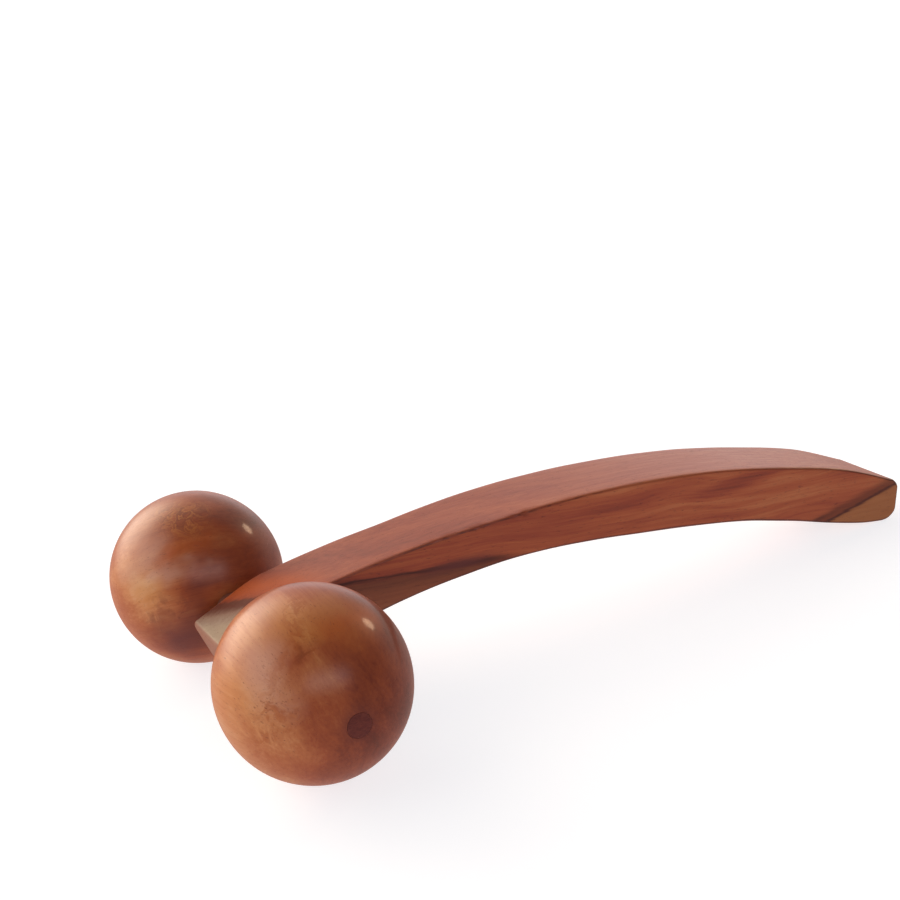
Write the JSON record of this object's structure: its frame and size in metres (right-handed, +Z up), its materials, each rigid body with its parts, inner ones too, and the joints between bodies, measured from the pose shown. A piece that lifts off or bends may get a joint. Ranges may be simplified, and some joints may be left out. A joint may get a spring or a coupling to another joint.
{
  "type": "wooden roller massager",
  "caption": "Hand massager of polished hardwood: an arched flat-sided handle with large turned balls that spin freely on a cross axle through its nose.",
  "frame": {"origin": "middle of the overall length and width, at the level of the surface that the balls and the tail rest on", "axes": "+X from the balls towards the handle's tail, +Y along the axle to the right ball, +Z up"},
  "size_m": [0.249, 0.1344, 0.05],
  "materials": {
    "ball_wood": "polished",
    "handle_wood": "polished",
    "plug_wood": "polished",
    "steel": "satin",
    "washer_nylon": "matte"
  },
  "bodies": {
    "handle": {"handle": "handle_wood", "axle_pin": "steel", "left_spacer_washer": "washer_nylon", "right_spacer_washer": "washer_nylon", "left_retaining_washer": "steel", "right_retaining_washer": "steel", "left_retaining_screw": "steel", "right_retaining_screw": "steel"},
    "left_ball": {"left_ball": "ball_wood", "left_ball_plug": "plug_wood"},
    "right_ball": {"right_ball": "ball_wood", "right_ball_plug": "plug_wood"}
  },
  "joints": [
    {"name": "left_ball_spin", "type": "hinge", "parent": "handle", "child": "left_ball", "pos_m": [-0.0995, -0.0405, 0.025], "axis": [0, 1, 0], "continuous": true},
    {"name": "right_ball_spin", "type": "hinge", "parent": "handle", "child": "right_ball", "pos_m": [-0.0995, 0.0405, 0.025], "axis": [0, 1, 0], "continuous": true}
  ]
}
